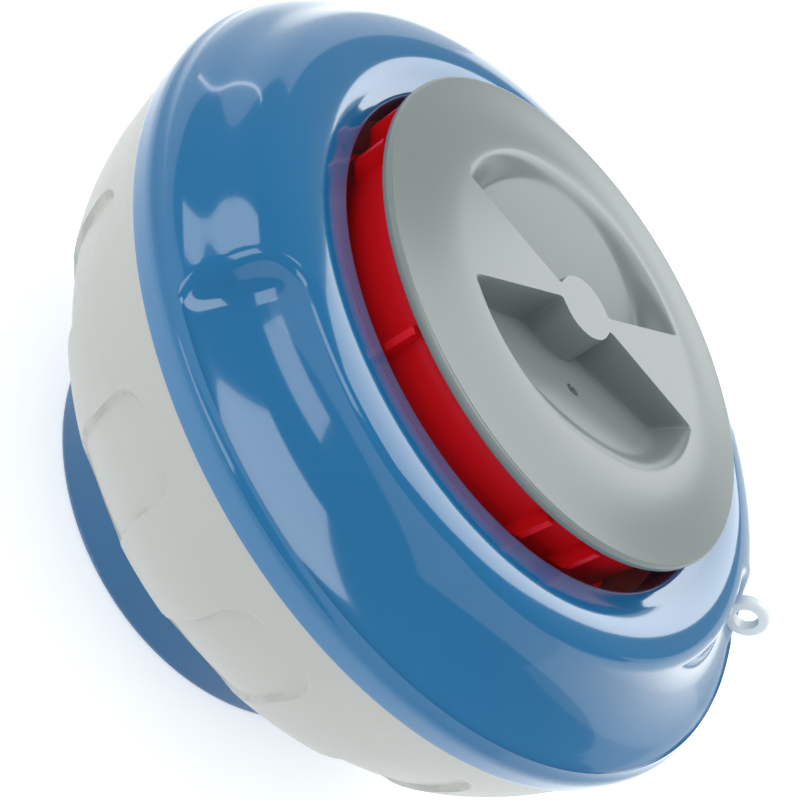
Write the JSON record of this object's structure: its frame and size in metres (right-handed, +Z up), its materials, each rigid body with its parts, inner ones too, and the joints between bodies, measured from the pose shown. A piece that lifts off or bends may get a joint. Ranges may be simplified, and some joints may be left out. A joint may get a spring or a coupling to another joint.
{
  "type": "floating chlorine dispenser",
  "caption": "Round pool float with a sliding tablet cartridge that pops up to show an indicator band, a plug lid with a grip bar and a dosing dial under its foot.",
  "frame": {"origin": "centre of the canister's foot, at the bottom of the popped-up dispenser", "axes": "+Z up along the dispenser's round axis"},
  "size_m": [0.1986, 0.1986, 0.1153],
  "materials": {
    "dome_blue": "glossy moulded",
    "bowl_grey": "satin moulded",
    "canister_blue": "glossy moulded",
    "collar_red": "glossy moulded",
    "lid_grey": "satin moulded",
    "natural_white": "translucent moulded",
    "seal_black": "soft",
    "basket_white": "satin moulded"
  },
  "bodies": {
    "float": {"upper_float_shell": "dome_blue", "lower_float_shell": "bowl_grey", "seam_gasket": "seal_black", "float_sleeve": "bowl_grey", "sleeve_top_seal": "seal_black", "sleeve_foot_seal": "seal_black", "tether_eye": "natural_white"},
    "guide": {"guide_ring": "natural_white"},
    "cartridge": {"indicator_collar": "collar_red", "canister": "canister_blue", "dial_rivet": "natural_white", "tablet_basket": "basket_white", "basket_flange": "basket_white", "tablet_grate": "basket_white", "air_cell_trough": "basket_white", "air_cell_cap": "basket_white"},
    "dial": {"dosing_dial": "canister_blue"},
    "lid": {"lid_cover": "lid_grey", "vent_valve": "seal_black", "lid_plug": "lid_grey", "lid_seal": "seal_black"}
  },
  "joints": [
    {"name": "pop_up", "type": "slide", "parent": "float", "child": "guide", "axis": [0, 0, 1], "range_m": [-0.0095, 0]},
    {"name": "cartridge_turn", "type": "hinge", "parent": "guide", "child": "cartridge", "pos_m": [0, 0, 0], "axis": [0, 0, 1], "range_deg": [0, 30]},
    {"name": "dial_turn", "type": "hinge", "parent": "cartridge", "child": "dial", "pos_m": [0, 0, 0], "axis": [0, 0, 1], "range_deg": [0, 22.5]},
    {"name": "lid_lift", "type": "slide", "parent": "cartridge", "child": "lid", "axis": [0, 0, 1], "range_m": [0, 0.06]}
  ]
}
